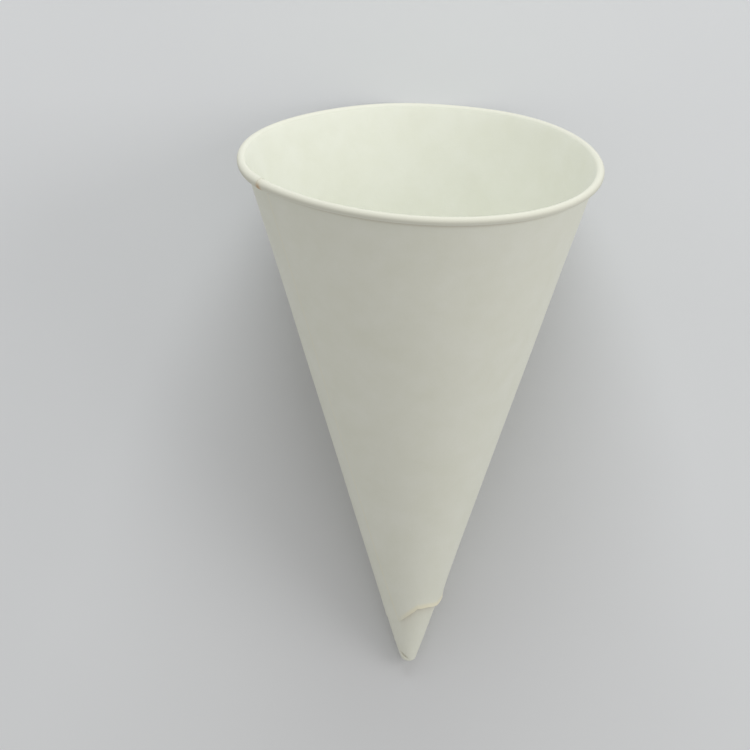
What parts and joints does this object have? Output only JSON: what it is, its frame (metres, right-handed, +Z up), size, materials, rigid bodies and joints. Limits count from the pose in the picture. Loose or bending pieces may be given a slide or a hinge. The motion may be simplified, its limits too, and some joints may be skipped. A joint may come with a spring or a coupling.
{
  "type": "cone paper cup",
  "caption": "Pointed drinking cup of wound off-white paper with a curled rim, a lap seam and a hem above its pressed tip, lying on its side.",
  "frame": {"origin": "middle of the lying cup's box, on the surface that it rests on", "axes": "+Y from the tip towards the mouth along the surface, +Z up, out of the side that the picture shows; the cup's own axis rises from tip to mouth by 18.1 degrees"},
  "size_m": [0.07, 0.1088, 0.0665],
  "materials": {
    "cup_paper": "matte off-white uncoated paper with fine fibres"
  },
  "bodies": {
    "root": {"cone_cup": "cup_paper"}
  },
  "joints": []
}
